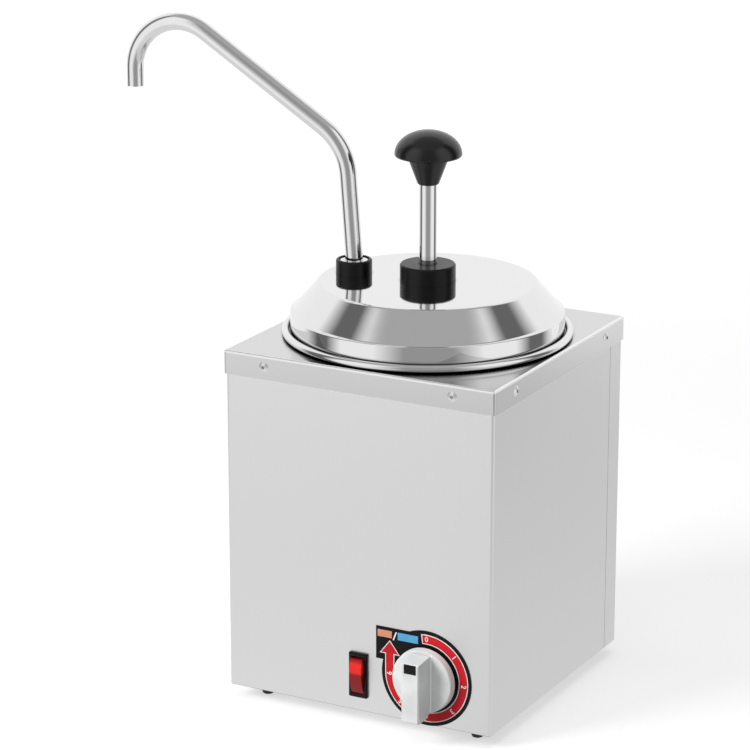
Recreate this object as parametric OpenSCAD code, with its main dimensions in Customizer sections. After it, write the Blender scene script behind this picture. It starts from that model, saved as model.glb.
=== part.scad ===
// Countertop warmer for hot fudge topping: a square steel cabinet with a heated
// well, a lift-out pot, and a lid that carries a hand pump with a swan-neck spout.
// Z is up, the front is at -Y, and the origin is on the plunger's axis, in the
// plane that the four feet stand on.

/* [Cabinet] */
// Outside width and depth of the top cover
cabinet_w = 200; // [196:1:210]
// Height from the underside of the body to the top of the cover
cabinet_h = 238; // [234:1:250]
// Thickness of the folded sheet
sheet = 1; // [0.8:0.1:1.2]
// Outside radius of the folds
fold_r = 2.2; // [1.6:0.1:3]
// Height of the cover's skirt
skirt_h = 16.3; // [14:0.1:20]
// Width of the strip that the rear panel returns along each side
rear_return = 19; // [15:1:25]
// Width of the flanges folded in under the body
bottom_flange = 28; // [24:1:32]

/* [Feet] */
// Height of the body above the counter
foot_h = 9; // [7:0.5:12]
// Distance from the middle to each foot, both ways
foot_at = 80; // [76:1:82]
// Diameter of a foot where it meets the body
foot_d = 12; // [10:0.5:16]
// Diameter of a foot where it stands
sole_d = 7.6; // [7:0.2:10]

/* [Pot and well] */
// Outside radius of the pot's rolled rim
rim_r = 98; // [97.5:0.1:98.5]
// Radius of the roll itself
roll_r = 2.6; // [2.2:0.1:2.8]
// Outside radius of the pot's wall
pot_r = 88; // [85:0.5:88.5]
// Height of the pot's underside above the counter
pot_bottom = 86; // [84:1:92]
// Inside radius of the well
well_r = 91.5; // [90.5:0.5:92]
// Height of the well's underside above the counter
well_bottom = 75; // [72:1:76]

/* [Lid] */
// Height of the lid's flat top above the cover
lid_rise = 36.4; // [34:0.2:40]
// Radius of the flat top
lid_flat_r = 72; // [70:0.5:74]
// Radius of the edge where the sloping side meets the upright band
lid_edge_r = 92.2; // [91.8:0.1:92.3]
// Height of that edge above the cover
lid_edge_rise = 16.2; // [15.8:0.1:16.8]

/* [Pump] */
// Diameter of the plunger rod and of the spout pipe
tube_d = 12; // [11:0.1:12.5]
// Travel of the plunger
stroke = 45; // [40:1:48]
// Inside diameter of the pump cylinder
bore_d = 30; // [29:0.5:31]
// Outside diameter of the pump cylinder
cylinder_d = 34; // [33:0.5:35]
// Distance from the plunger's axis to the spout's axis
spout_at = 53.5; // [52:0.5:56]
// Direction of the spout seen from above, counted from +X
spout_turn = 185.8; // [175:0.1:195]
// Diameter of the collar round the plunger
collar_d = 37.5; // [36:0.5:40]
// Height of that collar
collar_h = 11.8; // [10:0.2:13]
// Diameter of the nut round the spout
nut_d = 24.5; // [24:0.5:26]
// Height of that nut
nut_h = 9.6; // [9:0.2:11]

/* [Plunger knob] */
// Diameter of the mushroom cap
cap_d = 45.2; // [42:0.2:48]
// Height of the cap's dome above its widest line
cap_h = 16.1; // [14:0.1:18]
// Height of the cap's widest line above the lid's flat top
cap_rise = 86.5; // [84:0.5:90]
// Length of the tapered neck below the cap
neck_h = 19; // [17:0.5:20]

/* [Spout] */
// Lean of the rising pipe, in degrees
spout_lean = 4.3; // [0:0.1:6]
// Length of the leaning pipe
spout_rise = 54.8; // [50:0.2:60]
// Bend radius above the rising pipe
spout_bend_r = 41; // [35:1:45]
// Direction of the long straight, in degrees from upright
spout_slope = 56.2; // [50:0.2:60]
// Length of the long straight
spout_reach = 103.9; // [95:0.1:110]
// Bend radius of the hook
spout_hook_r = 34; // [30:1:38]
// Length of the straight tip
spout_tip = 12.5; // [10:0.5:20]

/* [Controls] */
// Distance from the middle to the dial, to the right
dial_x = 51.6; // [50:0.1:54]
// Height of the dial above the underside of the body
dial_rise = 33.4; // [33.4:0.1:38]
// Radius of the dial plate
dial_r = 33.2; // [32:0.1:33.3]
// Diameter of the dial knob
knob_d = 44.2; // [42:0.1:46]
// Distance from the middle to the switch, to the right
switch_x = 1; // [0:0.1:4]
// Height of the switch above the underside of the body
switch_rise = 26.3; // [24:0.1:30]

/* [Hidden] */
$fn = 64;

// Small distances used throughout
eps = 0.01;
gap = 0.2;
big = 400;

// Levels above the counter
body_z = foot_h;
cover_z = foot_h + cabinet_h;
lid_z = cover_z + lid_rise;
dial_z = body_z + dial_rise;
switch_z = body_z + switch_rise;

// Sheet-metal body
body_w = cabinet_w - 2*sheet;
inner_w = body_w - 2*sheet;
front_y = -body_w/2;
rear_y = body_w/2;
cover_fold_r = 1.6;
body_top = cover_z - cover_fold_r;
seam_y = rear_y - rear_return;
seam_gap = 0.4;
cover_hole_r = 91;
rivet_at = 69.5;
rivet_z = cover_z - 7.8;
rivet_head_d = 7;
rivet_d = 4;
screw_at = 78;
foot_screw_z = 3;

// Rear cable inlet
inlet_x = -50;
inlet_z = body_z + 26;
inlet_bore_r = 4;
inlet_hole_d = 15;

// Rocker switch: bezel, body behind the panel, and the rocker
switch_w = 13.8;
switch_h = 31.6;
switch_body = [12, 27.8];
bezel_h = 2;
rocker_w = 8.8;
rocker_l = 25.4;
trunnion_d = 1.6;

// Levels of the pot and the lid's seat
roll_x = rim_r - roll_r;
roll_z = cover_z + gap + roll_r;
shelf_z = roll_z - 0.6;
wall = 0.8;

// Pump levels, from the foot valve up
pump_z = 92;
seat_z = 100;
valve_top = 110;
cylinder_top = 212;
piston_top = 204;
piston_h = 14;
guide_h = 11;
column_d = 20;
column_bore = 16;
thread_d = 22;
lid_sheet = 0.8;
lid_under = lid_z - lid_sheet - eps;
lid_seat_r = 92.4;
lid_cone = 49;
lid_ledge = 12;
ball_d = 12;
ball_seat_d = 10;
ball_chamber_d = 14;
ball_z = seat_z + sqrt(pow(ball_d/2, 2) - pow(ball_seat_d/2, 2));
out_ball_d = 9;
out_seat_d = 7;
out_seat_z = 109.5;
out_ball_z = out_seat_z + sqrt(pow(out_ball_d/2, 2) - pow(out_seat_d/2, 2));
passage_z = 105;
riser_d = 16;
riser_bore = tube_d + 0.1;
pipe_bore = 9.6;
pipe_start = 262;
pipe_bend_z = lid_z + nut_h + 0.4;
cap_z = lid_z + cap_rise;
neck_d = 14.6;
neck_top_d = 28.4;
rod_top = cap_z + 3;

// Return spring round the valve boss
spring_wire = 1.8;
spring_r = 13;
spring_turns = 9;
spring_z0 = valve_top + spring_wire/2 + 0.05;
spring_z1 = piston_top - piston_h - spring_wire/2 - 0.05;

steel = [0.80, 0.81, 0.82];
polished = [0.88, 0.88, 0.89];
black = [0.07, 0.07, 0.07];

// Plane shapes

module rounded_rect(w, d, r) {
  square([w - 2*r, d], center = true);
  square([w, d - 2*r], center = true);
  for (x = [-1, 1], y = [-1, 1]) translate([x*(w/2 - r), y*(d/2 - r)]) circle(r);
}

// A rectangle standing on y = 0 whose two lower corners are rounded
module rounded_foot_rect(w, h, r) {
  translate([-w/2, r]) square([w, h - r]);
  translate([-w/2 + r, 0]) square([w - 2*r, h]);
  for (x = [-1, 1]) translate([x*(w/2 - r), r]) circle(r);
}

// A slot of the given length between its round ends' outer points
module slot(length, width) {
  square([length - width, width], center = true);
  for (x = [-1, 1]) translate([x*(length - width)/2, 0]) circle(width/2);
}

// Solids

// A block whose upright and lower edges are folded to radius r
module folded_block(w, d, h, r) {
  intersection() {
    linear_extrude(h) rounded_rect(w, d, r);
    translate([0, d, 0]) rotate([90, 0, 0]) linear_extrude(2*d) rounded_foot_rect(w, h + r, r);
    translate([-w, 0, 0]) rotate([90, 0, 90]) linear_extrude(2*w) rounded_foot_rect(d, h + r, r);
  }
}

// The folded shell of the whole body, without a top, with a frame folded in below
module body_shell() {
  difference() {
    translate([0, 0, body_z]) folded_block(body_w, body_w, body_top - body_z, fold_r);
    translate([0, 0, body_z + sheet])
      folded_block(inner_w, inner_w, body_top, fold_r - sheet);
    translate([0, 0, body_z - sheet]) linear_extrude(3*sheet)
      square(body_w - 2*bottom_flange, center = true);
  }
}

// Puts its child at each place, to each side, with +Z pointing out of that side
module on_four_sides(distance, height, places) {
  for (side = [0 : 3], u = places)
    rotate([0, 0, 90*side]) translate([u, -distance, height]) rotate([90, 0, 0]) children();
}

module foot_places() {
  for (x = [-1, 1], y = [-1, 1]) translate([x*foot_at, y*foot_at, 0]) children();
}

module base_screw_places() {
  for (p = [[0, -screw_at], [0, screw_at], [-screw_at, 0], [screw_at, 0]])
    translate([p.x, p.y, 0]) children();
}

// A pan-head screw: the head's top at z = 0, the shank running up along +Z
module pan_screw(head_d, head_h, d, length) {
  difference() {
    union() {
      rotate_extrude() polygon([[0, 0], [head_d/2 - 0.8, 0], [head_d/2, 0.8],
                                [head_d/2, head_h], [0, head_h]]);
      cylinder(d = d, h = length);
    }
    for (a = [0, 90]) rotate([0, 0, a]) translate([0, 0, 0.5])
      cube([head_d*0.55, 1, 2], center = true);
  }
}

// A rod through a list of points, with round joints a hair thicker than it is
module wire(points, d) {
  for (i = [0 : len(points) - 2]) {
    v = points[i + 1] - points[i];
    translate(points[i]) rotate([0, acos(v.z/norm(v)), atan2(v.y, v.x)])
      cylinder(d = d, h = norm(v));
  }
  for (i = [1 : 1 : len(points) - 2]) translate(points[i]) sphere(d = d + 0.2);
}

// A round rod that follows straights and bends, starting upwards and bending to +X.
// A step is [length] for a straight, or [radius, angle] for a bend. Straights run
// a little into the bends, which are a hair thicker.
module bent_rod(steps, d, i = 0) {
  lap = 0.3;
  hair = 0.02;
  if (i < len(steps)) {
    s = steps[i];
    if (len(s) == 1) {
      below = i > 0 ? lap : 0;
      above = i < len(steps) - 1 ? lap : 0;
      translate([0, 0, -below]) cylinder(d = d, h = below + s[0] + above);
      translate([0, 0, s[0]]) bent_rod(steps, d, i + 1);
    } else {
      translate([s[0], 0, 0]) rotate([90, 0, 180])
        rotate_extrude(angle = s[1]) translate([s[0], 0]) circle(d = d + 2*hair);
      translate([s[0], 0, 0]) rotate([0, s[1], 0]) translate([-s[0], 0, 0])
        bent_rod(steps, d, i + 1);
    }
  }
}

// Turns its child so that +X points to the spout
module towards_spout() {
  rotate([0, 0, spout_turn]) children();
}

module at_spout() {
  towards_spout() translate([spout_at, 0, 0]) children();
}

module at_dial() {
  translate([dial_x, front_y, dial_z]) rotate([90, 0, 0]) children();
}

module at_switch() {
  translate([switch_x, front_y, switch_z]) rotate([90, 0, 0]) children();
}

// Sheet-metal cabinet

module body_wrapper() {
  color(steel) difference() {
    body_shell();
    translate([-big/2, seam_y - seam_gap/2, -1]) cube([big, big, big]);
    on_four_sides(body_w/2, rivet_z, [-rivet_at, rivet_at])
      translate([0, 0, -2*sheet]) cylinder(d = rivet_d, h = 4*sheet);
    at_dial() translate([0, 0, -2*sheet]) linear_extrude(3*sheet) {
      circle(d = 11);
      for (x = [-14, 14]) translate([x, 0]) circle(d = 4);
    }
    at_switch() translate([0, 0, -2*sheet]) linear_extrude(3*sheet)
      square(switch_body + [gap, gap], center = true);
    foot_places() cylinder(d = 4, h = 2*body_z);
    base_screw_places() cylinder(d = 4, h = 2*body_z);
  }
}

module rear_panel() {
  lap = 12;
  color(steel) difference() {
    union() {
      difference() {
        body_shell();
        translate([-big/2, seam_y + seam_gap/2 - big, -1]) cube([big, big, big]);
      }
      // Strips that lap inside the wrapper's sides
      for (x = [-1, 1]) translate([x*(inner_w/2 - sheet/2), seam_y, body_z + 20 + 100])
        cube([sheet, 2*lap, 200], center = true);
    }
    on_four_sides(body_w/2, rivet_z, [-rivet_at, rivet_at])
      translate([0, 0, -3*sheet]) cylinder(d = rivet_d, h = 5*sheet);
    translate([inlet_x, rear_y + sheet, inlet_z]) rotate([90, 0, 0])
      cylinder(d = inlet_hole_d, h = 4*sheet);
    foot_places() cylinder(d = 4, h = 2*body_z);
    base_screw_places() cylinder(d = 4, h = 2*body_z);
    // Ventilation slots near the top
    for (row = [0 : 4], x = [-1, 1]) translate([x*32, rear_y + sheet, cover_z - 40 - 9*row])
      rotate([90, 0, 0]) linear_extrude(4*sheet) slot(44, 4);
  }
}

module top_cover() {
  color(steel) difference() {
    translate([0, 0, cover_z]) mirror([0, 0, 1]) difference() {
      folded_block(cabinet_w, cabinet_w, skirt_h, cover_fold_r);
      translate([0, 0, sheet]) folded_block(body_w, body_w, skirt_h, cover_fold_r - sheet);
    }
    translate([0, 0, cover_z - 2*sheet]) cylinder(r = cover_hole_r, h = 3*sheet);
    on_four_sides(body_w/2, rivet_z, [-rivet_at, rivet_at])
      translate([0, 0, -sheet]) cylinder(d = rivet_d, h = 3*sheet);
  }
}

// Blind rivets: a domed head with the mandrel's hole in the middle
module blind_rivet() {
  head_h = 1.3;
  difference() {
    union() {
      rotate_extrude() difference() {
        translate([0, head_h - 5.4]) circle(5.4);
        translate([-20, -40]) square([20, 80]);
        translate([-20, -40]) square([40, 40]);
        translate([rivet_head_d/2, -1]) square([20, 10]);
      }
      translate([0, 0, -4*sheet]) cylinder(d = rivet_d, h = 4*sheet);
    }
    translate([0, 0, -1.5]) cylinder(d = 2.4, h = 5);
  }
}

module cover_rivets() {
  color([0.85, 0.85, 0.86])
    on_four_sides(cabinet_w/2, rivet_z, [-rivet_at, rivet_at]) blind_rivet();
}

module base_plate() {
  edge = inner_w - 2*sheet - 2*gap;
  color(steel) translate([0, 0, body_z + sheet]) difference() {
    union() {
      linear_extrude(sheet) square(edge, center = true);
      // Two upturned edges stiffen the plate
      for (y = [-1, 1]) translate([-edge/2 + 12, y*(edge/2 - sheet/2) - sheet/2, 0])
        cube([edge - 24, sheet, 9]);
    }
    for (x = [-2.5 : 1 : 2.5], y = [-1, 1]) translate([x*14, y*32, -sheet])
      linear_extrude(3*sheet) rotate(90) slot(34, 4);
    translate([0, 0, -sheet]) linear_extrude(3*sheet) {
      for (x = [-1, 1], y = [-1, 1]) translate([x*foot_at, y*foot_at]) circle(d = 4);
      for (p = [[0, -screw_at], [0, screw_at], [-screw_at, 0], [screw_at, 0]])
        translate(p) circle(d = 4);
    }
  }
}

module base_screws() {
  color([0.75, 0.75, 0.76]) base_screw_places()
    translate([0, 0, body_z - 2.2]) pan_screw(7.5, 2.2, 4, 8);
}

// Rubber feet, each held by a screw from above the base plate
module feet() {
  color(black) foot_places() rotate_extrude() difference() {
    polygon([[0, 0], [sole_d/2 - 0.4, 0], [sole_d/2, 0.4], [foot_d/2, foot_h - 1.5],
             [foot_d/2, foot_h], [0, foot_h]]);
    translate([-1, foot_screw_z]) square([3, foot_h]);
  }
}

module foot_screws() {
  head_h = 2.2;
  head_z = body_z + 2*sheet + head_h;
  color([0.75, 0.75, 0.76]) foot_places() translate([0, 0, head_z]) mirror([0, 0, 1])
    pan_screw(7.4, head_h, 4, head_z - foot_screw_z - gap);
}

// Heating

module well_tank() {
  top = cover_z - sheet;
  r = 10;
  color(steel) difference() {
    rotate_extrude() difference() {
      union() {
        translate([0, well_bottom]) square([well_r + wall, top - well_bottom]);
        translate([0, top - sheet]) square([well_r + 4.5, sheet]);
      }
      union() {
        translate([0, well_bottom + wall + r]) square([well_r, big]);
        translate([0, well_bottom + wall]) square([well_r - r, big]);
        translate([well_r - r, well_bottom + wall + r]) circle(r);
      }
      // Outside of the rounded bottom corner
      difference() {
        translate([well_r - r, well_bottom - 1]) square([r + 2, r + wall + 1]);
        translate([well_r - r, well_bottom + wall + r]) circle(r + wall);
        translate([0, well_bottom]) square([well_r - r, big]);
      }
    }
  }
}

heater_r = 55;
heater_d = 6.6;
heater_z = well_bottom - heater_d/2;

module heating_element() {
  open = 24;
  color([0.45, 0.42, 0.38]) translate([0, 0, heater_z]) rotate([0, 0, 90 + open/2]) {
    rotate_extrude(angle = 360 - open) translate([heater_r, 0]) circle(d = heater_d);
    for (a = [0, 360 - open]) rotate([0, 0, a]) translate([heater_r, 0, -22]) {
      cylinder(d = heater_d + 0.8, h = 22 + heater_d/2 - 0.1);
      translate([0, 0, -8]) cylinder(d = 3.2, h = 9);
    }
  }
}

module heater_clamp() {
  bar_t = 2;
  color([0.7, 0.7, 0.7]) {
    translate([0, 0, heater_z - heater_d/2 - bar_t]) difference() {
      linear_extrude(bar_t) for (a = [-30, 30]) rotate(a)
        slot(2*heater_r + 18, 18);
      translate([0, 0, -1]) cylinder(d = 6, h = 5);
    }
  }
}

// The welded stud under the well and the nut that draws the clamp up
module heater_nut() {
  stud_l = 14;
  nut_z = heater_z - heater_d/2 - 2 - 5;
  color([0.7, 0.7, 0.72]) {
    translate([0, 0, well_bottom - stud_l]) cylinder(d = 6, h = stud_l);
    translate([0, 0, nut_z]) cylinder(d = 11.5, h = 5, $fn = 6);
  }
}

bulb_r = well_r + wall + 3.3;
bulb_turn = -45;

module sensor_bulb() {
  bulb = [bulb_r*cos(bulb_turn), bulb_r*sin(bulb_turn), 0];
  start = [dial_x + 10, front_y + 20, dial_z + 18];
  color([0.72, 0.45, 0.3]) {
    translate(bulb + [0, 0, 104]) cylinder(d = 6, h = 72);
    translate(bulb + [0, 0, 100]) cylinder(d1 = 2.8, d2 = 6, h = 4);
    wire([start, start + [0, 0, 12], bulb + [0, 0, 90], bulb + [0, 0, 102]], 2);
  }
}

// Each clip is a ring round the bulb on a flat strap that lies against the well
module bulb_clips() {
  strap_x = well_r + wall + 0.15;
  color([0.75, 0.75, 0.76]) for (z = [116, 156]) rotate([0, 0, bulb_turn])
    translate([0, 0, z]) difference() {
      union() {
        translate([bulb_r, 0, 0]) cylinder(d = 8, h = 8);
        translate([strap_x, -7, 0]) cube([1, 14, 8]);
      }
      translate([bulb_r, 0, -1]) cylinder(d = 6, h = 10);
      translate([strap_x - 2, -7, -1]) cube([2, 14, 10]);
    }
}

module thermal_cutout() {
  at = [0, 36, well_bottom];
  color([0.2, 0.2, 0.2]) translate(at) {
    translate([0, 0, -3]) cylinder(d = 16.5, h = 3);
    translate([0, 0, -11]) cylinder(d = 15, h = 8);
    for (x = [-1, 1]) translate([x*5 - 0.4, -2.4, -20]) cube([0.8, 4.8, 9]);
    translate([-15, -3.5, -4]) difference() {
      cube([30, 7, 1]);
      for (x = [3, 27]) translate([x, 3.5, -1]) cylinder(d = 3.4, h = 3);
    }
  }
}

module terminal_block() {
  poles = 3;
  pitch = 11;
  color([0.92, 0.91, 0.86]) translate([20, 62, body_z + 2*sheet]) difference() {
    union() {
      translate([0, 0, 0]) cube([poles*pitch, 20, 5]);
      for (i = [0 : poles - 1]) translate([i*pitch + 1, 1, 0]) cube([pitch - 2, 18, 14]);
    }
    for (i = [0 : poles - 1], y = [5.5, 14.5]) translate([(i + 0.5)*pitch, y, 6])
      cylinder(d = 4.2, h = 20);
    for (i = [0 : poles - 1]) translate([(i + 0.5)*pitch, -1, 8]) rotate([-90, 0, 0])
      cylinder(d = 3.6, h = 30);
  }
}

module earth_stud() {
  color([0.83, 0.68, 0.3]) translate([-70, 60, body_z + 2*sheet]) {
    cylinder(d = 4, h = 16);
    cylinder(d = 9, h = 0.8);
    translate([0, 0, 0.8]) cylinder(d = 8.1, h = 3.2, $fn = 6);
    translate([0, 0, 6]) cylinder(d = 8.1, h = 3.2, $fn = 6);
  }
}

// Bushing that the cable would pass through, with a locknut inside
module cable_bushing() {
  color(black) translate([inlet_x, rear_y, inlet_z]) rotate([-90, 0, 0]) difference() {
    union() {
      rotate_extrude() polygon([[0, 0], [11, 0], [11, 2], [9.5, 3.5], [7, 9], [0, 9]]);
      translate([0, 0, -11]) cylinder(d = inlet_hole_d - 0.4, h = 12);
      translate([0, 0, -sheet - 4]) cylinder(d = 23, h = 4, $fn = 6);
    }
    translate([0, 0, -20]) cylinder(r = inlet_bore_r, h = 40);
  }
}

// Controls

module thermostat_body() {
  color([0.75, 0.75, 0.74]) at_dial() translate([0, 0, -sheet]) difference() {
    union() {
      translate([0, 0, -2]) linear_extrude(2) rounded_rect(38, 34, 4);
      translate([0, 0, -20]) cylinder(d = 40, h = 18);
      translate([-14, -14, -32]) cube([28, 28, 12]);
      for (x = [-9, 9]) translate([x - 3.2, -0.4, -40]) cube([6.4, 0.8, 9]);
    }
    translate([0, 0, -30]) cylinder(d = 6.2, h = 40);
    for (x = [-14, 14]) translate([x, 0, -8]) cylinder(d = 3.2, h = 10);
    // Where the capillary leaves
    translate([10, 18, -19]) rotate([-90, 0, 0]) cylinder(d = 2, h = 10);
  }
}

module thermostat_screws() {
  color([0.75, 0.75, 0.76]) at_dial() for (x = [-14, 14]) translate([x, 0, 0])
    mirror([0, 0, 1]) translate([0, 0, -1.6 - 0.3]) pan_screw(6.4, 1.6, 3.2, 8);
}

module dial_plate() {
  tab_left = -37.6;
  tab_low = 7.6;
  tab_top = 30.6;
  color(black) at_dial() difference() {
    linear_extrude(0.3) {
      circle(dial_r);
      translate([tab_left, tab_low]) square([-tab_left, tab_top - tab_low]);
    }
    translate([0, 0, -1]) linear_extrude(3) {
      circle(d = 11);
      for (x = [-14, 14]) translate([x, 0]) circle(d = 3.6);
    }
  }
}

knob_skirt_h = 5.4;
knob_h = 24;
knob_lift = 2.4;
knob_bar_w = 12.8;
knob_mark = [8.8, 6.4];
knob_mark_at = 11.2;

// A disc with a little draft and a bar across it. The bar's upper end stays on the
// disc, and its lower end runs past the disc's edge.
module dial_knob() {
  r = knob_d/2;
  top = knob_h - knob_lift;
  side = knob_bar_w/2;
  flare = 0.9;
  color([0.86, 0.87, 0.87]) at_dial() translate([0, 0, knob_lift]) difference() {
    union() {
      rotate_extrude() polygon([[0, 0], [r, 0], [r, 1], [r - 0.4, knob_skirt_h - 0.7],
                                [r - 1, knob_skirt_h], [0, knob_skirt_h]]);
      intersection() {
        translate([0, big/2, 0]) rotate([90, 0, 0]) linear_extrude(big)
          polygon([[-side - flare, 1], [side + flare, 1], [side + flare, knob_skirt_h],
                   [side, knob_skirt_h + flare], [side, top - 0.8], [side - 0.8, top],
                   [0.8 - side, top], [-side, top - 0.8], [-side, knob_skirt_h + flare],
                   [-side - flare, knob_skirt_h]]);
        translate([-big/2, 0, 0]) rotate([90, 0, 90]) linear_extrude(big)
          polygon([[-r + 1.6, 1], [-r + 1.6, knob_skirt_h], [-r - 0.8, knob_skirt_h + 6],
                   [-r - 1.2, top - 0.8], [-r - 0.4, top], [17.3, top], [18.1, top - 0.8],
                   [19.4, 1]]);
      }
    }
    translate([0, 0, -1]) cylinder(d = 6, h = knob_h - 6);
    translate([0, 0, -1]) difference() {
      cylinder(r = r - 2, h = 2.6);
      cylinder(d = 12, h = 2.6);
    }
    translate([-knob_mark.x/2, knob_mark_at, top - 0.8]) cube([knob_mark.x, knob_mark.y, 2]);
  }
}

module knob_insert() {
  color(black) at_dial() translate([-knob_mark.x/2, knob_mark_at, knob_h - 0.8])
    cube([knob_mark.x, knob_mark.y, 0.9]);
}

module thermostat_shaft() {
  color([0.75, 0.75, 0.76]) at_dial() translate([0, 0, -26])
    cylinder(d = 6, h = 26 + knob_lift - 1 + knob_h - 6);
}

module switch_housing() {
  color(black) at_switch() difference() {
    union() {
      linear_extrude(bezel_h - 0.6) rounded_rect(switch_w, switch_h, 0.8);
      linear_extrude(bezel_h) rounded_rect(switch_w - 1.2, switch_h - 1.2, 0.6);
      translate([0, 0, -22]) linear_extrude(22 + eps) square(switch_body, center = true);
      for (y = [-8, 8]) translate([-3.15, y - 0.4, -31]) cube([6.3, 0.8, 10]);
    }
    translate([0, 0, -9]) linear_extrude(20) square([rocker_w + 0.6, rocker_l + 1.2],
      center = true);
    translate([0, 0, -1]) rotate([0, 90, 0])
      cylinder(d = trunnion_d + 0.2, h = 2*switch_w, center = true);
  }
}

// A crowned rocker on two trunnions, pressed at the bottom
module rocker() {
  tilt = 7;
  crown_r = 34;
  crown_h = 6.4;
  back = 3.4;
  color([0.75, 0.05, 0.04]) at_switch() translate([0, 0, -1]) rotate([tilt, 0, 0]) {
    translate([-rocker_w/2, 0, 0]) rotate([90, 0, 90]) linear_extrude(rocker_w) intersection() {
      polygon([[-rocker_l/2 + 1.6, -back], [rocker_l/2 - 1.6, -back], [rocker_l/2, back],
               [rocker_l/2, 2*back], [-rocker_l/2, 2*back], [-rocker_l/2, back]]);
      translate([0, crown_h - crown_r]) circle(crown_r);
    }
    rotate([0, 90, 0]) cylinder(d = trunnion_d, h = rocker_w + 2.4, center = true);
  }
}

// Pot and lid

module inset_pot() {
  r = 9;
  color(polished) rotate_extrude() {
    difference() {
      translate([0, pot_bottom + r]) square([pot_r, shelf_z + wall - pot_bottom - r]);
      translate([0, pot_bottom + r - 1]) square([pot_r - wall, big]);
    }
    difference() {
      translate([0, pot_bottom]) square([pot_r - r, wall]);
    }
    difference() {
      translate([pot_r - r, pot_bottom + r]) circle(r);
      translate([pot_r - r, pot_bottom + r]) circle(r - wall);
      translate([pot_r - 2*r - 1, pot_bottom - 1]) square([r + 1, 3*r]);
      translate([pot_r - 2*r - 1, pot_bottom + r]) square([3*r, 2*r]);
    }
    translate([pot_r - wall, shelf_z]) square([roll_x - pot_r + wall, wall]);
    translate([roll_x, roll_z]) circle(roll_r);
  }
}

// Where the lines n1*p = d1 and n2*p = d2 cross
function meet(n1, d1, n2, d2) =
  let (det = n1.x*n2.y - n1.y*n2.x)
  [(d1*n2.y - n1.y*d2)/det, (n1.x*d2 - d1*n2.x)/det];

function arc(centre, r, from, to, steps = 6) =
  [for (i = [0 : steps]) let (a = from + (to - from)*i/steps) centre + r*[cos(a), sin(a)]];

// The spun lid's filled outline from the axis to its seat on the pot's shelf, offset
// inwards by t: flat top, round shoulder, cone, dished foot, ledge, edge, band
function lid_outline(t) =
  let (shoulder_r = 3, foot_r = 2.5, edge_r = 1,
       edge = [lid_edge_r, cover_z + lid_edge_rise],
       seat = [lid_seat_r, shelf_z + wall + gap],
       lean = atan2(seat.x - edge.x, edge.y - seat.y),
       cone_n = [sin(lid_cone), cos(lid_cone)],
       ledge_n = [sin(lid_ledge), cos(lid_ledge)],
       band_n = [cos(lean), sin(lean)],
       shoulder = [lid_flat_r, lid_z - shoulder_r],
       foot = meet(cone_n, cone_n*shoulder + shoulder_r + foot_r,
                   ledge_n, ledge_n*edge + foot_r),
       rim = meet(ledge_n, ledge_n*edge - edge_r, band_n, band_n*edge - edge_r))
  concat([[0, lid_z - t]],
         arc(shoulder, shoulder_r - t, 90, 90 - lid_cone),
         arc(foot, foot_r + t, 270 - lid_cone, 270 - lid_ledge),
         arc(rim, edge_r - t, 90 - lid_ledge, lean),
         [seat - [t, 0], [0, seat.y]]);

module lid() {
  color(polished) difference() {
    rotate_extrude() difference() {
      polygon(lid_outline(0));
      translate([0, -eps]) polygon(lid_outline(lid_sheet));
    }
    translate([0, 0, lid_z - 5]) cylinder(d = thread_d + 0.2, h = 10);
    at_spout() translate([0, 0, lid_z - 5]) cylinder(d = riser_d + 0.2, h = 10);
  }
}

module locking_collar() {
  color(black) translate([0, 0, lid_z]) rotate_extrude() difference() {
    polygon([[0, 0], [collar_d/2, 0], [collar_d/2, collar_h - 0.9],
             [collar_d/2 - 0.9, collar_h], [0, collar_h]]);
    translate([-1, -1]) square([thread_d/2 + 1, guide_h - 2.4]);
    translate([-1, -1]) square([tube_d/2 + 0.35 + 1, collar_h + 2]);
  }
}

module lid_gasket() {
  color([0.25, 0.25, 0.25]) translate([0, 0, lid_under - 1.2]) difference() {
    cylinder(d = 34, h = 1.2);
    translate([0, 0, -1]) cylinder(d = thread_d, h = 4);
  }
}

// Pump

module pump_column() {
  flange_z = lid_under - 1.2 - 3;
  neck_top = lid_z + guide_h - 3.6;
  color(polished) difference() {
    union() {
      translate([0, 0, cylinder_top - 6]) cylinder(d = column_d, h = flange_z - cylinder_top + 6);
      translate([0, 0, flange_z]) cylinder(d = 34, h = 3);
      translate([0, 0, flange_z + 2]) cylinder(d = thread_d, h = neck_top - flange_z - 2);
    }
    translate([0, 0, cylinder_top - 10]) cylinder(d = column_bore, h = flange_z - cylinder_top + 7);
    translate([0, 0, cylinder_top - 10]) cylinder(d = tube_d + 0.12, h = big);
    // Windows that let the column drain
    for (z = [cylinder_top + 14, cylinder_top + 34]) translate([0, 0, z]) rotate([90, 0, 60])
      cylinder(d = 8, h = 60, center = true);
  }
}

module pump_cylinder() {
  color(polished) difference() {
    translate([0, 0, valve_top]) cylinder(d = cylinder_d, h = cylinder_top - valve_top);
    translate([0, 0, valve_top - 1]) cylinder(d = bore_d, h = cylinder_top - valve_top - 5);
    translate([0, 0, cylinder_top - 10]) cylinder(d = column_d, h = 20);
    for (a = [0 : 60 : 300]) rotate([0, 0, a]) translate([12.4, 0, cylinder_top - 10])
      cylinder(d = 3.6, h = 20);
  }
}

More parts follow.
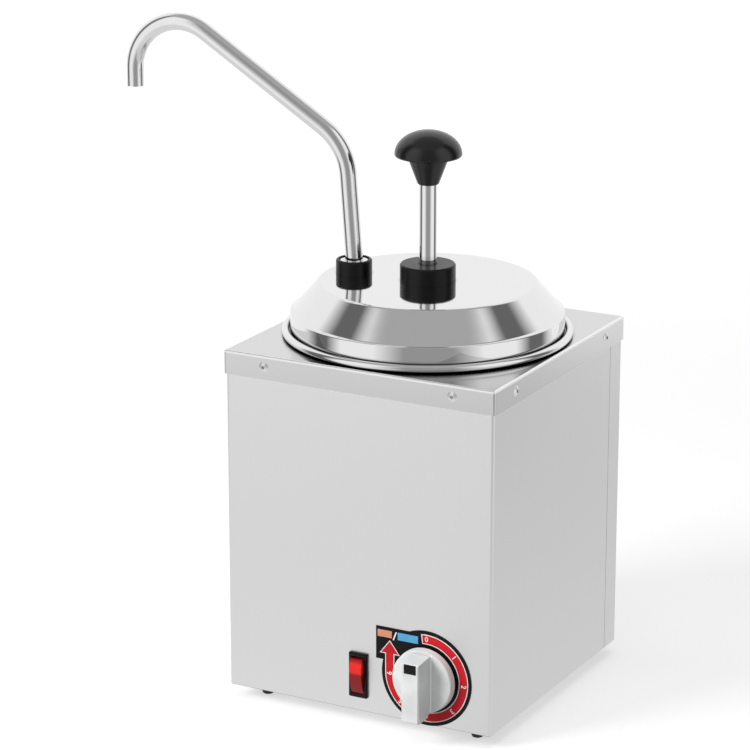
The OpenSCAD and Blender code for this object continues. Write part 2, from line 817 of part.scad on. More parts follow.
// Foot of the pump: the inlet seat, the passage to the rising tube, and its socket
module valve_body() {
  boss_top = valve_top + 6;
  color(polished) towards_spout() difference() {
    union() {
      translate([0, 0, pump_z]) cylinder(d = 42, h = valve_top - pump_z);
      translate([0, 0, valve_top - 1]) difference() {
        cylinder(d = 42, h = 7);
        cylinder(d = cylinder_d, h = 20);
      }
      translate([0, 0, valve_top - 1]) cylinder(d = 22, h = boss_top - valve_top + 1);
      translate([0, -11, pump_z + 3]) cube([spout_at, 22, valve_top - pump_z - 3]);
      translate([spout_at, 0, pump_z + 3]) cylinder(d = 22, h = boss_top - pump_z - 3);
    }
    translate([0, 0, pump_z - 1]) cylinder(d = ball_seat_d, h = 10);
    translate([0, 0, seat_z]) cylinder(d = ball_chamber_d, h = 40);
    translate([0, 0, passage_z]) rotate([0, 90, 0]) cylinder(d = 6, h = spout_at);
    translate([spout_at, 0, passage_z - 2]) cylinder(d = out_seat_d, h = 10);
    translate([spout_at, 0, out_seat_z]) cylinder(d = riser_bore, h = 10);
    translate([spout_at, 0, valve_top + 1]) cylinder(d = riser_d, h = 10);
    translate([0, 0, boss_top - 2.4]) rotate([90, 0, 0]) cylinder(d = 2, h = 40, center = true);
    // Notches that keep the inlet open on the pot's floor
    for (a = [45 : 90 : 315]) rotate([0, 0, a]) translate([0, -3, pump_z - 1]) cube([30, 6, 4]);
  }
}

module ball_stop_pin() {
  color([0.7, 0.7, 0.72]) towards_spout() translate([0, 0, valve_top + 3.6]) rotate([90, 0, 0])
    cylinder(d = 2, h = 22, center = true);
}

// Points of a tube's ring at turn t of the spring, six to a ring
function spring_point(t, k) =
  let (a = 360*t*spring_turns, b = 60*k,
       r = spring_r + spring_wire/2*cos(b),
       z = spring_z0 + (spring_z1 - spring_z0)*t + spring_wire/2*sin(b))
  [r*cos(a), r*sin(a), z];

module return_spring() {
  rings = 8*spring_turns;
  points = [for (i = [0 : rings], k = [0 : 5]) spring_point(i/rings, k)];
  sides = [for (i = [0 : rings - 1], k = [0 : 5], half = [0, 1])
    let (a = 6*i + k, b = 6*i + (k + 1)%6)
    half == 0 ? [a, b, b + 6] : [a, b + 6, a + 6]];
  ends = [for (k = [1 : 4]) [0, k + 1, k], for (k = [1 : 4]) [6*rings, 6*rings + k, 6*rings + k + 1]];
  echo(least_gap = (spring_z1 - spring_z0)/spring_turns - spring_wire);
  color([0.78, 0.78, 0.8]) polyhedron([for (p = points) p], concat(sides, ends));
}

module discharge_tube() {
  bottom = valve_top + 1;
  top = lid_z + 5.2;
  color(polished) at_spout() difference() {
    translate([0, 0, bottom]) cylinder(d = riser_d, h = top - bottom);
    translate([0, 0, bottom - 1]) cylinder(d = riser_bore, h = top);
    translate([0, 0, out_ball_z + out_ball_d/2 + 4]) rotate([90, 0, 0])
      cylinder(d = 2, h = 40, center = true);
  }
}

module tube_stop_pin() {
  color([0.7, 0.7, 0.72]) at_spout() translate([0, 0, out_ball_z + out_ball_d/2 + 4])
    rotate([90, 0, 0]) cylinder(d = 2, h = riser_d, center = true);
}

module discharge_locknut() {
  color([0.75, 0.75, 0.76]) at_spout() translate([0, 0, lid_under - 5]) difference() {
    cylinder(d = 25, h = 5, $fn = 6);
    translate([0, 0, -1]) cylinder(d = riser_d, h = 10);
  }
}

// Nut that holds the spout down on the rising tube, open at the top
module spout_nut() {
  mouth_r = 10.2;
  thread_h = 6.4;
  color(black) at_spout() translate([0, 0, lid_z]) rotate_extrude() difference() {
    polygon([[0, 0], [nut_d/2, 0], [nut_d/2, nut_h - 0.8], [nut_d/2 - 0.8, nut_h], [0, nut_h]]);
    translate([-1, -1]) square([riser_d/2 + 1, nut_h]);
    translate([-1, thread_h]) square([mouth_r + 1, nut_h]);
  }
}

// Washer between the rising tube's end and the pipe's collar
module spout_seal() {
  color([0.2, 0.2, 0.2]) at_spout() translate([0, 0, lid_z + 5.25]) rotate_extrude()
    translate([tube_d/2, 0]) square([1.8, 1.3]);
}

// Steel collar on the pipe, seen inside the nut's mouth
module spout_ferrule() {
  base = lid_z + 6.4;
  color(polished) at_spout() translate([0, 0, base + gap]) difference() {
    rotate_extrude() polygon([[0, 0], [9.9, 0], [9.9, 1.6], [9.2, 2.3], [0, 2.3]]);
    translate([0, 0, -1]) cylinder(d = tube_d, h = 10);
  }
}

// The pipe's centre line, with both ends run on by the given length
function pipe_steps(past) = [
  [pipe_bend_z - pipe_start + past],
  [40, spout_lean],
  [spout_rise],
  [spout_bend_r, spout_slope - spout_lean],
  [spout_reach],
  [spout_hook_r, 180 - spout_slope],
  [spout_tip + past]];

module spout_pipe() {
  color(polished) at_spout() translate([0, 0, pipe_start]) difference() {
    bent_rod(pipe_steps(0), tube_d);
    translate([0, 0, -1]) bent_rod(pipe_steps(1), pipe_bore);
  }
}

// Plunger

module plunger_rod() {
  color(polished) {
    translate([0, 0, piston_top]) cylinder(d = tube_d, h = rod_top - piston_top);
    translate([0, 0, piston_top - piston_h - 8]) cylinder(d = 8, h = piston_h + 8 + eps);
  }
}

module plunger_knob() {
  under_z = cap_z - 1.2;
  neck_z = under_z - neck_h;
  steps = 24;
  color(black) difference() {
    rotate_extrude() polygon(concat(
      [[0, neck_z], [neck_d/2 - 0.5, neck_z], [neck_d/2, neck_z + 0.5],
       [neck_top_d/2, under_z - 0.4], [neck_top_d/2 + 0.8, under_z],
       [cap_d/2 - 0.7, under_z], [cap_d/2 - 0.1, cap_z - 0.5]],
      [for (i = [0 : steps - 1]) let (a = 90*i/steps) [cap_d/2*cos(a), cap_z + cap_h*sin(a)]],
      [[0, cap_z + cap_h]]));
    translate([0, 0, neck_z - 1]) cylinder(d = tube_d, h = rod_top - neck_z + 1);
  }
}

module piston() {
  color([0.9, 0.9, 0.86]) translate([0, 0, piston_top - piston_h]) rotate_extrude() difference() {
    polygon([[0, 0], [bore_d/2 - 1.3, 0], [bore_d/2 - 0.3, 1], [bore_d/2 - 0.3, piston_h - 1],
             [bore_d/2 - 1.3, piston_h], [0, piston_h]]);
    translate([-1, -1]) square([5, piston_h + 2]);
    translate([bore_d/2 - 3, 5]) square([5, 4]);
  }
}

module piston_seal() {
  color([0.15, 0.15, 0.15]) translate([0, 0, piston_top - piston_h + 5]) rotate_extrude()
    translate([bore_d/2 - 3, 0]) square([3 - 0.05, 4]);
}

module piston_nut() {
  color([0.75, 0.75, 0.76]) translate([0, 0, piston_top - piston_h - 6.5]) difference() {
    cylinder(d = 15, h = 6.5, $fn = 6);
    translate([0, 0, -1]) cylinder(d = 8, h = 10);
  }
}

module inlet_ball() {
  color([0.85, 0.85, 0.86]) translate([0, 0, ball_z + 0.02]) sphere(d = ball_d);
}

module outlet_ball() {
  color([0.85, 0.85, 0.86]) at_spout() translate([0, 0, out_ball_z + 0.02])
    sphere(d = out_ball_d);
}

body_wrapper();
rear_panel();
top_cover();
cover_rivets();
base_plate();
base_screws();
feet();
foot_screws();
well_tank();
heating_element();
heater_clamp();
heater_nut();
sensor_bulb();
bulb_clips();
thermal_cutout();
terminal_block();
earth_stud();
cable_bushing();
thermostat_body();
thermostat_screws();
switch_housing();
dial_plate();
dial_knob();
knob_insert();
thermostat_shaft();
rocker();
inset_pot();
lid();
locking_collar();
lid_gasket();
pump_column();
pump_cylinder();
valve_body();
ball_stop_pin();
return_spring();
discharge_tube();
tube_stop_pin();
discharge_locknut();
spout_nut();
spout_pipe();
spout_ferrule();
spout_seal();
plunger_rod();
plunger_knob();
piston();
piston_seal();
piston_nut();
inlet_ball();
outlet_ball();
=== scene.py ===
import math

import bmesh
import bpy
from mathutils import Matrix, Vector


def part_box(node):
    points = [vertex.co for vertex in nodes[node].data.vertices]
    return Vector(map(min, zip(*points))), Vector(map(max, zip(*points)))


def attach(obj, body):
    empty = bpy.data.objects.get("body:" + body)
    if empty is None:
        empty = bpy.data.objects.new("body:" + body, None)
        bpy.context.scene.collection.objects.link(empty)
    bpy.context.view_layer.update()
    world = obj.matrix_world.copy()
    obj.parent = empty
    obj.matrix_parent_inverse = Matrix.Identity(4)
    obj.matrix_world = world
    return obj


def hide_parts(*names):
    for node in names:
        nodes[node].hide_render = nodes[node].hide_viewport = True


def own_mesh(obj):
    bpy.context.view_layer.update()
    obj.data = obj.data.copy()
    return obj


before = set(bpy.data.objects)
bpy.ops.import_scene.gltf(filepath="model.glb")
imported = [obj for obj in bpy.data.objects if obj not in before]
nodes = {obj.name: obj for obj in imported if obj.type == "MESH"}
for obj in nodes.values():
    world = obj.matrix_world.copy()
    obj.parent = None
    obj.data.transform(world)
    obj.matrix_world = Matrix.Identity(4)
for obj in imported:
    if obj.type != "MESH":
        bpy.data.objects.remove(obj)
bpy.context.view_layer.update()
scene = bpy.context.scene
MM = 0.001


# Camera, at the photograph's place

CAMERA_YAW = 28.224
CAMERA_PITCH = 16.89
CAMERA_PLACE = (0.9714, -1.8845, 0.8607)
LENS = 157.5


def place_camera():
    yaw, pitch = math.radians(CAMERA_YAW), math.radians(CAMERA_PITCH)
    right = Vector((math.cos(yaw), math.sin(yaw), 0))
    back = Vector((math.sin(yaw)*math.cos(pitch), -math.cos(yaw)*math.cos(pitch),
                   math.sin(pitch)))
    up = back.cross(right)
    data = bpy.data.cameras.new("camera")
    data.sensor_width = 36
    data.lens = LENS
    data.clip_end = 50
    camera = bpy.data.objects.new("camera", data)
    turn = Matrix((right, up, back)).transposed().to_4x4()
    camera.matrix_world = Matrix.Translation(CAMERA_PLACE) @ turn
    scene.collection.objects.link(camera)
    scene.camera = camera


# Node helpers

class Tree:
    """A short way to write a node tree."""

    def __init__(self, tree, clear=True):
        self.tree = tree
        if clear:
            tree.nodes.clear()

    def node(self, kind, **values):
        made = self.tree.nodes.new(kind)
        for key, value in values.items():
            if hasattr(made, key):
                setattr(made, key, value)
            else:
                self.put(made.inputs[key.replace("_", " ")], value)
        return made

    def put(self, socket, value):
        if isinstance(value, bpy.types.NodeSocket):
            self.tree.links.new(value, socket)
        else:
            socket.default_value = value

    def math(self, operation, a, b=0.0, c=0.0):
        made = self.tree.nodes.new("ShaderNodeMath")
        made.operation = operation
        for socket, value in zip(made.inputs, (a, b, c)):
            self.put(socket, value)
        return made.outputs[0]

    def noise(self, vector, scale, detail=3.0, roughness=0.5):
        made = self.tree.nodes.new("ShaderNodeTexNoise")
        self.put(made.inputs["Vector"], vector)
        self.put(made.inputs["Scale"], scale)
        self.put(made.inputs["Detail"], detail)
        self.put(made.inputs["Roughness"], roughness)
        return made.outputs["Fac"]

    def ramp(self, value, low, high, to_low=0.0, to_high=1.0, smooth=False):
        made = self.tree.nodes.new("ShaderNodeMapRange")
        if smooth:
            made.interpolation_type = "SMOOTHSTEP"
        for socket, item in zip(made.inputs, (value, low, high, to_low, to_high)):
            self.put(socket, item)
        return made.outputs[0]

    def mix(self, factor, a, b):
        made = self.tree.nodes.new("ShaderNodeMix")
        made.data_type = "RGBA"
        self.put(made.inputs[0], factor)
        self.put(made.inputs[6], a)
        self.put(made.inputs[7], b)
        return made.outputs[2]

    def stretched(self, scale):
        coordinates = self.tree.nodes.new("ShaderNodeTexCoord")
        mapping = self.tree.nodes.new("ShaderNodeMapping")
        mapping.inputs["Scale"].default_value = scale
        self.tree.links.new(coordinates.outputs["Object"], mapping.inputs["Vector"])
        return mapping.outputs[0]

    def split(self, vector):
        made = self.tree.nodes.new("ShaderNodeSeparateXYZ")
        self.put(made.inputs[0], vector)
        return made.outputs[:3]

    def coordinates(self, kind):
        return self.split(self.tree.nodes.new("ShaderNodeTexCoord").outputs[kind])

    def place(self):
        """The x, y and z of the point on the piece, in metres."""
        return self.coordinates("Object")

    def distance(self, x, y):
        return self.math("SQRT", self.math("ADD", self.math("MULTIPLY", x, x),
                                           self.math("MULTIPLY", y, y)))

    def spun(self, scale):
        """Coordinates that run with the radius and the height, for marks of a lathe."""
        x, y, z = self.place()
        made = self.tree.nodes.new("ShaderNodeCombineXYZ")
        self.put(made.inputs[0], self.math("MULTIPLY", self.distance(x, y), scale))
        self.put(made.inputs[2], self.math("MULTIPLY", z, scale))
        return made.outputs[0]

    def blend(self, factor, first, second):
        made = self.tree.nodes.new("ShaderNodeMixShader")
        for socket, value in zip(made.inputs, (factor, first, second)):
            self.put(socket, value)
        return made.outputs[0]

    def crevice(self, reach, low):
        """Painted shade: one on open faces, down to low in corners and gaps narrower than reach."""
        made = self.tree.nodes.new("ShaderNodeAmbientOcclusion")
        made.samples = 8
        made.inputs["Distance"].default_value = reach
        return self.ramp(made.outputs["AO"], 0.22, 0.72, low, 1.0, smooth=True)

    def shade(self, colour, amount):
        """The colour times an amount from 0 to 1."""
        return self.mix(amount, grey(0.0), colour)


def grey(value):
    return (value, value, value, 1)


def new_material(name):
    made = bpy.data.materials.new(name)
    made.use_nodes = True
    tree = Tree(made.node_tree)
    shader = tree.node("ShaderNodeBsdfPrincipled")
    output = tree.node("ShaderNodeOutputMaterial")
    tree.tree.links.new(shader.outputs[0], output.inputs[0])
    return made, tree, shader


def make_object(name, mesh, material):
    """Turns a bmesh into an object of the scene, and frees it."""
    data = bpy.data.meshes.new(name)
    mesh.to_mesh(data)
    mesh.free()
    data.materials.append(material)
    made = bpy.data.objects.new(name, data)
    scene.collection.objects.link(made)
    return made


def steel(name, colour, rough, spread, grain, bump, vary=0.05, crevice=0.0, metal=1.0):
    """Sheet steel: the grain's scale along each axis makes the brush lines, or one
    scale the marks of spinning. Larger clouds vary the gloss and, by vary, the tone
    a little. In corners and gaps narrower than the given reach, the colour is darkened as
    painted shade. A dull skin, such as mill scale, has metal below one."""
    made, tree, shader = new_material(name)
    brushed = isinstance(grain, tuple)
    lines = tree.noise(tree.stretched(grain) if brushed else tree.spun(grain), 1.0, 4.0, 0.6)
    clouds = tree.noise(tree.stretched((9, 9, 9)), 1.0, 3.0, 0.5)
    tone = tree.math("ADD", tree.math("MULTIPLY", lines, 0.6), tree.math("MULTIPLY", clouds, 0.4))
    low = tuple((1 - vary)*c for c in colour) + (1,)
    high = tuple(min(1, (1 + vary)*c) for c in colour) + (1,)
    toned = tree.mix(tree.ramp(tone, 0.3, 0.7), low, high)
    # Painted shade: the colour darkens in corners and gaps narrower than the given reach.
    if crevice:
        toned = tree.shade(toned, tree.crevice(crevice, 0.05))
    tree.put(shader.inputs["Base Color"], toned)
    shader.inputs["Metallic"].default_value = metal
    tree.put(shader.inputs["Roughness"],
             tree.ramp(tone, 0.25, 0.75, rough - spread, rough + spread))
    bumped = tree.node("ShaderNodeBump", Strength=bump, Distance=0.2*MM)
    tree.put(bumped.inputs["Height"], lines)
    tree.put(shader.inputs["Normal"], bumped.outputs[0])
    return made


def plastic(name, colour, rough, spread=0.05, grain=900.0, bump=0.12, specular=0.5,
            crevice=0.0):
    """Moulded plastic or rubber with a fine spark-eroded grain and faint clouds."""
    made, tree, shader = new_material(name)
    fine = tree.noise(tree.stretched((grain, grain, grain)), 1.0, 2.0, 0.5)
    clouds = tree.noise(tree.stretched((40, 40, 40)), 1.0, 3.0, 0.55)
    low = tuple(0.85*c for c in colour) + (1,)
    high = tuple(min(1, 1.12*c + 0.001) for c in colour) + (1,)
    toned = tree.mix(tree.ramp(clouds, 0.3, 0.7), low, high)
    # Painted shade: the colour darkens in corners and gaps narrower than the given reach.
    if crevice:
        toned = tree.shade(toned, tree.crevice(crevice, 0.35))
    tree.put(shader.inputs["Base Color"], toned)
    tree.put(shader.inputs["Roughness"],
             tree.ramp(clouds, 0.25, 0.75, rough - spread, rough + spread))
    shader.inputs["Specular IOR Level"].default_value = specular
    bumped = tree.node("ShaderNodeBump", Strength=bump, Distance=0.1*MM)
    tree.put(bumped.inputs["Height"], fine)
    tree.put(shader.inputs["Normal"], bumped.outputs[0])
    return made


def paint(name, material):
    """Gives a CAD node its finish."""
    node = nodes[name]
    node.data.materials.clear()
    node.data.materials.append(material)


# Finishes

# The last number given to the cover, polished and pot steel, and the keyword on the dial's plastic,
# set the reach of painted shade in gaps and corners.
panel = steel("panel_steel", (0.88, 0.88, 0.885), 0.40, 0.04, (900, 900, 14), 0.03, 0.012)
cover = steel("cover_steel", (0.655, 0.655, 0.66), 0.13, 0.03, (12, 700, 700), 0.02, 0.012, 0.004)
inner = steel("inner_steel", (0.66, 0.66, 0.67), 0.38, 0.07, (300, 300, 300), 0.10, metal=0.6)
mirror = steel("polished_steel", (0.80, 0.80, 0.805), 0.05, 0.015, 1100, 0.02, 0.01, 0.005)
pot_steel = steel("pot_steel", (0.80, 0.80, 0.805), 0.05, 0.015, 1100, 0.02, 0.01, 0.005)
tube = steel("tube_steel", (0.80, 0.80, 0.805), 0.12, 0.04, (500, 500, 500), 0.02)
plated = steel("plated_steel", (0.72, 0.73, 0.74), 0.26, 0.08, (500, 500, 500), 0.15)
rivet = steel("rivet_metal", (0.93, 0.93, 0.93), 0.42, 0.06, (500, 500, 500), 0.10)
sheath = steel("heater_sheath", (0.38, 0.33, 0.28), 0.42, 0.10, (120, 120, 120), 0.25)
copper = steel("copper", (0.80, 0.42, 0.27), 0.28, 0.08, (200, 200, 200), 0.10)
brass = steel("brass", (0.78, 0.60, 0.28), 0.26, 0.06, (300, 300, 300), 0.10)
black_plastic = plastic("black_plastic", (0.006, 0.006, 0.0065), 0.30, specular=0.2)
knob_plastic = plastic("knob_plastic", (0.003, 0.003, 0.0032), 0.20, 0.04, 700, 0.06, specular=0.5)
black_rubber = plastic("black_rubber", (0.018, 0.018, 0.018), 0.62, 0.08, 600, 0.4)
grey_rubber = plastic("grey_rubber", (0.12, 0.12, 0.12), 0.60, 0.08, 600, 0.3)
white_plastic = plastic("white_plastic", (0.80, 0.79, 0.74), 0.36)
dial_plastic = plastic("dial_plastic", (0.75, 0.765, 0.76), 0.34, 0.05, 900, 0.10, crevice=0.005)
red_plastic = plastic("red_plastic", (0.70, 0.012, 0.008), 0.20, 0.04, 700, 0.03, specular=0.28)
plate_print = plastic("plate_print", (0.006, 0.006, 0.0065), 0.42, 0.05, 1200, 0.05, specular=0.15)

FINISH = {
    panel: ["body_wrapper", "rear_panel"],
    cover: ["top_cover"],
    inner: ["base_plate", "well_tank"],
    mirror: ["lid", "plunger_rod", "spout_ferrule"],
    pot_steel: ["inset_pot"],
    tube: ["spout_pipe", "pump_column", "pump_cylinder", "valve_body", "discharge_tube"],
    rivet: ["cover_rivets"],
    plated: ["base_screws", "foot_screws", "heater_clamp", "heater_nut", "bulb_clips",
             "thermostat_body", "thermostat_screws", "thermostat_shaft", "return_spring",
             "discharge_locknut", "piston_nut", "ball_stop_pin", "tube_stop_pin", "inlet_ball",
             "outlet_ball"],
    sheath: ["heating_element"],
    copper: ["sensor_bulb"],
    brass: ["earth_stud"],
    black_plastic: ["thermal_cutout", "cable_bushing", "switch_housing", "locking_collar",
                    "spout_nut", "knob_insert"],
    knob_plastic: ["plunger_knob"],
    black_rubber: ["feet"],
    grey_rubber: ["lid_gasket", "spout_seal", "piston_seal"],
    white_plastic: ["terminal_block", "piston"],
    dial_plastic: ["dial_knob"],
    red_plastic: ["rocker"],
    plate_print: ["dial_plate"],
}
for material, names in FINISH.items():
    for name in names:
        paint(name, material)


# Marks on single finishes: painted highlights and painted shade, and the pot's satin inside.
# The dial's middle on the plate, and the foot of its bar, are in millimetres.

DIAL = (51.6, -99.3, 42.4)
BAR_FOOT = 7.3


def colour_link(material):
    """The tree, the shader and what feeds its colour."""
    tree = material.node_tree
    shader = [n for n in tree.nodes if n.type == "BSDF_PRINCIPLED"][0]
    feed = shader.inputs["Base Color"].links[0].from_socket
    return Tree(tree, clear=False), shader, feed


def polish_cover_fold():
    """A painted highlight along the cover's folded edges: near white there, and rougher."""
    _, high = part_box("top_cover")
    tree, shader, colour = colour_link(cover)
    x, y, z = tree.place()
    out = tree.math("MAXIMUM", tree.math("ABSOLUTE", x), tree.math("ABSOLUTE", y))
    fold = tree.math("MULTIPLY", tree.ramp(out, high[0] - 1.7*MM, high[0] - 1.2*MM),
                     tree.ramp(z, high[2] - 2.0*MM, high[2] - 1.5*MM))
    tree.put(shader.inputs["Base Color"], tree.mix(fold, colour, grey(0.97)))
    rough = shader.inputs["Roughness"].links[0].from_socket
    tree.put(shader.inputs["Roughness"], tree.math("MULTIPLY_ADD", fold, 0.22, rough))


def shear_panel_edge():
    """A painted shadow along the panels' lower edge: the colour goes dark there."""
    low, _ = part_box("body_wrapper")
    tree, shader, colour = colour_link(panel)
    z = tree.place()[2]
    # painted shadow: dark grey in the bottom millimetre of the panels
    edge = tree.ramp(z, low[2] + 0.5*MM, low[2] + 1.1*MM, 1.0, 0.0)
    tree.put(shader.inputs["Base Color"], tree.mix(edge, colour, grey(0.30)))


def satin_pot():
    """The pot is polished outside and at its rim, and satin inside."""
    _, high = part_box("inset_pot")
    tree, shader, _ = colour_link(pot_steel)
    x, y, z = tree.place()
    across, along, up = tree.coordinates("Normal")
    out = tree.math("ADD", tree.math("MULTIPLY", across, x), tree.math("MULTIPLY", along, y))
    inward = tree.math("SUBTRACT", up, tree.math("DIVIDE", out, tree.distance(x, y)))
    below_rim = tree.ramp(z, high[2] - 16*MM, high[2] - 11*MM, 1.0, 0.0)
    inside = tree.math("MULTIPLY", tree.ramp(inward, 0.1, 0.4), below_rim)
    rough = shader.inputs["Roughness"].links[0].from_socket
    tree.put(shader.inputs["Roughness"], tree.math("MULTIPLY_ADD", inside, 0.32, rough))
    tree.put(shader.inputs["Metallic"], tree.math("MULTIPLY_ADD", inside, -0.5, 1.0))


def light_rocker():
    """The rocker is clear red, with painted light: a painted highlight over its upper third, deep
    red below, and painted shade along its top edge.
    """
    low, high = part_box("rocker")
    tree, shader, _ = colour_link(red_plastic)
    z = tree.place()[2]
    tall = high[2] - low[2]
    # painted highlight: bright red over the upper third, deep red below
    bright = tree.ramp(z, low[2] + 0.55*tall, low[2] + 0.66*tall, smooth=True)
    # painted shade: dark red along the rounded top edge
    top = tree.ramp(z, low[2] + 0.86*tall, low[2] + 0.97*tall, smooth=True)
    body = tree.mix(bright, (0.25, 0.006, 0.008, 1), (0.78, 0.020, 0.014, 1))
    tree.put(shader.inputs["Base Color"], tree.mix(top, body, (0.30, 0.006, 0.006, 1)))


def line_dial_joint():
    """A painted highlight where the knob's bar meets its disc: a thin near-white line."""
    tree, shader, colour = colour_link(dial_plastic)
    x, _, z = tree.place()
    side = tree.math("ABSOLUTE", tree.math("SUBTRACT", x, (DIAL[0] + BAR_FOOT)*MM))
    rise = tree.math("ABSOLUTE", tree.math("SUBTRACT", z, DIAL[2]*MM))
    line = tree.math("MULTIPLY", tree.ramp(side, 0.25*MM, 0.45*MM, 1.0, 0.0),
                     tree.ramp(rise, 19.5*MM, 20.5*MM, 1.0, 0.0))
    tree.put(shader.inputs["Base Color"], tree.mix(line, colour, grey(0.98)))


polish_cover_fold()
shear_panel_edge()
satin_pot()
light_rocker()
line_dial_joint()


# The dial plate's print, in millimetres round the dial's middle

BAND_MIDDLE = 27.3
NUMBER_ANGLES = (0, 48, 92, 136, 180, 224, 267)


def on_plate(made):
    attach(made, "cabinet")


def printed(name, outline, height, material):
    """A thin printed shape on the plate, proud of it by height."""
    mesh = bmesh.new()
    front = [mesh.verts.new(((DIAL[0] + u)*MM, (DIAL[1] - height)*MM, (DIAL[2] + v)*MM))
             for u, v in outline]
    back = [mesh.verts.new((w.co.x, (DIAL[1] + 0.02)*MM, w.co.z)) for w in front]
    mesh.faces.new(front)
    mesh.faces.new(list(reversed(back)))
    for i, a in enumerate(front):
        j = (i + 1) % len(front)
        mesh.faces.new((a, back[i], back[j], front[j]))
    bmesh.ops.recalc_face_normals(mesh, faces=mesh.faces)
    on_plate(make_object(name, mesh, material))


def turned(radius, degrees):
    """A point at a clock angle, counted from the top."""
    a = math.radians(degrees)
    return (radius*math.sin(a), radius*math.cos(a))


def band(grow):
    """The temperature band: round from the top, then straight up to an arrowhead."""
    middle, half = BAND_MIDDLE, 2.8 + grow
    start = -6.3 - math.degrees(grow/middle)
    angles = [start + (270 - start)*i/96 for i in range(97)]
    outer = [turned(middle + half, a) for a in angles]
    inner = [turned(middle - half, a) for a in reversed(angles)]
    neck, wide, tip = 12.6 - grow, 6.5 + 1.7*grow, 20.9 + 1.6*grow
    head = [(-middle - half, neck), (-middle - wide, neck), (-middle, tip),
            (-middle + wide, neck), (-middle + half, neck)]
    return outer + head + inner


def number(text, degrees, material):
    curve = bpy.data.curves.new("number_" + text, "FONT")
    curve.body = text
    curve.size = 5.0*MM
    curve.extrude = 0.03*MM
    curve.offset = 0.08*MM
    curve.align_x = "CENTER"
    curve.align_y = "CENTER"
    made = bpy.data.objects.new("number_" + text, curve)
    u, v = turned(BAND_MIDDLE, degrees)
    spot = Vector((DIAL[0] + u, DIAL[1] - 0.14, DIAL[2] + v))*MM
    made.matrix_world = (Matrix.Translation(spot)
                         @ Matrix.Rotation(math.radians(degrees), 4, "Y")
                         @ Matrix.Rotation(math.radians(90), 4, "X"))
    scene.collection.objects.link(made)
    curve.materials.append(material)
    on_plate(made)


def ink(name, colour, rough=0.40, specular=0.2):
    return plastic("ink_" + name, colour, rough, 0.05, 1200, 0.05, specular=specular)


white, red = ink("white", (0.84, 0.84, 0.83)), ink("red", (0.58, 0.014, 0.022), 0.36, 0.15)
orange, blue = ink("orange", (0.72, 0.30, 0.19)), ink("blue", (0.11, 0.42, 0.72))
printed("band_edge", band(0.6), 0.04, white)
printed("band_fill", band(0.0), 0.10, red)
for step, degrees in enumerate(NUMBER_ANGLES):
    number(str(step), degrees, white)
printed("orange_block", [(-36.4, 23.4), (-25.8, 23.4), (-25.8, 28.3), (-36.4, 28.3)], 0.06, orange)
printed("blue_block", [(-21.4, 23.0), (-6.3, 23.0), (-6.3, 28.3), (-21.4, 28.3)], 0.06, blue)
printed("slash", [(-25.2, 22.3), (-24.2, 22.3), (-22.0, 28.3), (-23.0, 28.3)], 0.06, white)


# The pump's spring, round wire in place of the CAD node's few faces

SPRING_WIRE = 0.9*MM
SPRING_TURNS = 9


def wind_spring():
    """Nine turns, the first and the last closed."""
    low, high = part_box("return_spring")
    wire, turns, steps, sides = SPRING_WIRE, SPRING_TURNS, 40, 10
    radius = (high[1] - low[1])/2 - wire
    middle = ((low[0] + high[0])/2, (low[1] + high[1])/2)
    bottom, top = low[2] + wire, high[2] - wire
    closed = 2.1*wire
    climb = (top - bottom - 2*closed)/(turns - 2)
    mesh = bmesh.new()
    rings = []
    for i in range(turns*steps + 1):
        turn = i/steps
        active = min(max(turn - 1, 0), turns - 2)
        height = bottom + closed*(turn - active) + climb*active
        angle = 2*math.pi*turn
        out = Vector((math.cos(angle), math.sin(angle), 0))
        ring = []
        for k in range(sides):
            b = 2*math.pi*k/sides
            spot = Vector((middle[0], middle[1], height)) + out*(radius + wire*math.cos(b))
            ring.append(mesh.verts.new(spot + Vector((0, 0, wire*math.sin(b)))))
        rings.append(ring)
    for a, b in zip(rings, rings[1:]):
        for k in range(sides):
            mesh.faces.new((a[k], a[(k + 1) % sides], b[(k + 1) % sides], b[k]))
    mesh.faces.new(rings[0])
    mesh.faces.new(rings[-1])
    bmesh.ops.recalc_face_normals(mesh, faces=mesh.faces)
    for face in mesh.faces:
        face.smooth = len(face.verts) == 4
    made = make_object("wound_spring", mesh, plated)
    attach(made, "lid")
    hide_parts("return_spring")
    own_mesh(made)


wind_spring()


# Studio: a white backdrop behind the object, a soft box on either side of the camera,
# dim between them and a black flag out to each side. A row gives a span of azimuths,
# counted from the camera's side, and its level. The same row serves at every height
# and on the far floor, and it is the same left and right.

CAMERA_SIDE = -61.8
STUDIO = [(-180, -120, 1.0), (-105, -90, 0.15), (-75, -45, 1.0), (-20, 20, 0.35),
          (45, 75, 1.0), (90, 105, 0.15), (120, 180, 1.0)]
CEILING = 0.45
LAMP_AIM = Vector((0, 0, 0.2))


def studio_level(tree, x, y):
    """How bright the studio's row is towards (x, y)."""
    angle = tree.math("SUBTRACT", tree.math("ARCTAN2", y, x), math.radians(CAMERA_SIDE))
    angle = tree.math("WRAP", angle, -math.pi, math.pi)
    ramp = tree.tree.nodes.new("ShaderNodeValToRGB")
    tree.put(ramp.inputs[0], tree.math("MULTIPLY_ADD", angle, 0.5/math.pi, 0.5))
    ends = sorted({(end, level) for first, last, level in STUDIO for end in (first, last)})
    stops = ramp.color_ramp.elements
    while len(stops) < len(ends):
        stops.new(0.5)
    for stop, (degrees, _) in zip(stops, ends):
        stop.position = (degrees + 180)/360
    for stop, (_, level) in zip(stops, ends):
        stop.color = grey(level)
    return ramp.outputs["Color"]


def rise(degrees):
    """The height on the unit sphere at an elevation."""
    return math.sin(math.radians(degrees))


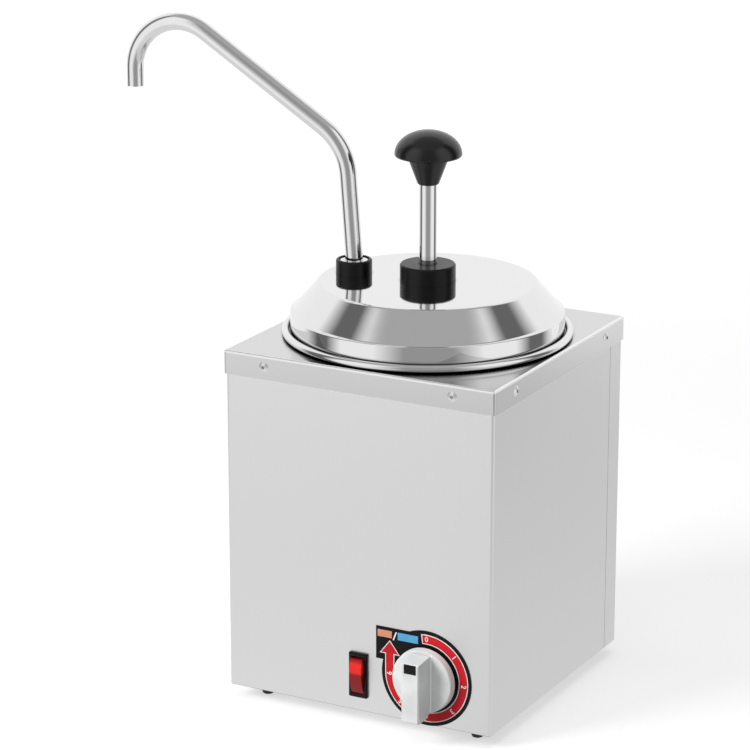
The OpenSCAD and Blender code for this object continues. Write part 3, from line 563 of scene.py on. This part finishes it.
def make_world():
    world = bpy.data.worlds.new("room")
    scene.world = world
    world.use_nodes = True
    tree = Tree(world.node_tree)
    out = tree.node("ShaderNodeOutputWorld")
    soft = tree.node("ShaderNodeBackground", Strength=0.35)
    seen = tree.node("ShaderNodeBackground", Strength=1.0)
    path = tree.node("ShaderNodeLightPath")
    either = tree.math("MAXIMUM", path.outputs["Is Glossy Ray"], path.outputs["Is Transmission Ray"])
    sees = tree.math("MAXIMUM", path.outputs["Is Camera Ray"], either)
    x, y, z = tree.coordinates("Generated")
    level = tree.mix(tree.ramp(z, rise(50), rise(60), smooth=True),
                     studio_level(tree, x, y), grey(CEILING))
    tree.put(seen.inputs["Color"], tree.mix(path.outputs["Is Camera Ray"], level, grey(1)))
    tree.put(out.inputs[0], tree.blend(sees, soft.outputs[0], seen.outputs[0]))


def make_floor():
    """White to the camera, with the object's shadow. Steel sees it pale near the
    object, a little darker in its shadow on the right, and the studio's row beyond."""
    mesh = bmesh.new()
    bmesh.ops.create_grid(mesh, x_segments=8, y_segments=8, size=3.0)
    made, tree, shader = new_material("floor_white")
    shader.inputs["Base Color"].default_value = grey(0.5)
    shader.inputs["Roughness"].default_value = 0.9
    shader.inputs["Specular IOR Level"].default_value = 0.0
    shader.inputs["Emission Color"].default_value = grey(1)
    path = tree.node("ShaderNodeLightPath")
    x, y, _ = tree.place()
    away = tree.distance(x, y)
    glow_seen = tree.ramp(away, 0.5, 2.0, 0.58, 0.90, smooth=True)
    tree.put(shader.inputs["Emission Strength"],
             tree.math("MULTIPLY", path.outputs["Is Camera Ray"], glow_seen))
    shadow = tree.ramp(x, 0.0, 0.11, smooth=True)
    near = tree.mix(shadow, grey(0.8), grey(0.7))
    level = tree.mix(tree.ramp(away, 0.7, 1.0, smooth=True), near, studio_level(tree, x, y))
    glow = tree.node("ShaderNodeEmission", Strength=1.0)
    tree.put(glow.inputs["Color"], level)
    output = [n for n in made.node_tree.nodes if n.type == "OUTPUT_MATERIAL"][0]
    tree.put(output.inputs[0],
             tree.blend(path.outputs["Is Glossy Ray"], shader.outputs[0], glow.outputs[0]))
    make_object("floor", mesh, made)


def lamp(name, place, size, watts):
    light = bpy.data.lights.new(name, "AREA")
    light.shape = "RECTANGLE"
    light.size = light.size_y = size
    light.energy = watts
    lit = bpy.data.objects.new(name, light)
    lit.location = place
    lit.rotation_euler = (LAMP_AIM - Vector(place)).to_track_quat("-Z", "Y").to_euler()
    lit.visible_glossy = False
    scene.collection.objects.link(lit)


make_world()
make_floor()
lamp("left_box", (-1.1, -1.5, 1.3), 1.0, 44)
lamp("top_box", (0.2, -0.3, 1.9), 1.4, 14)
place_camera()

scene.view_settings.view_transform = "Standard"
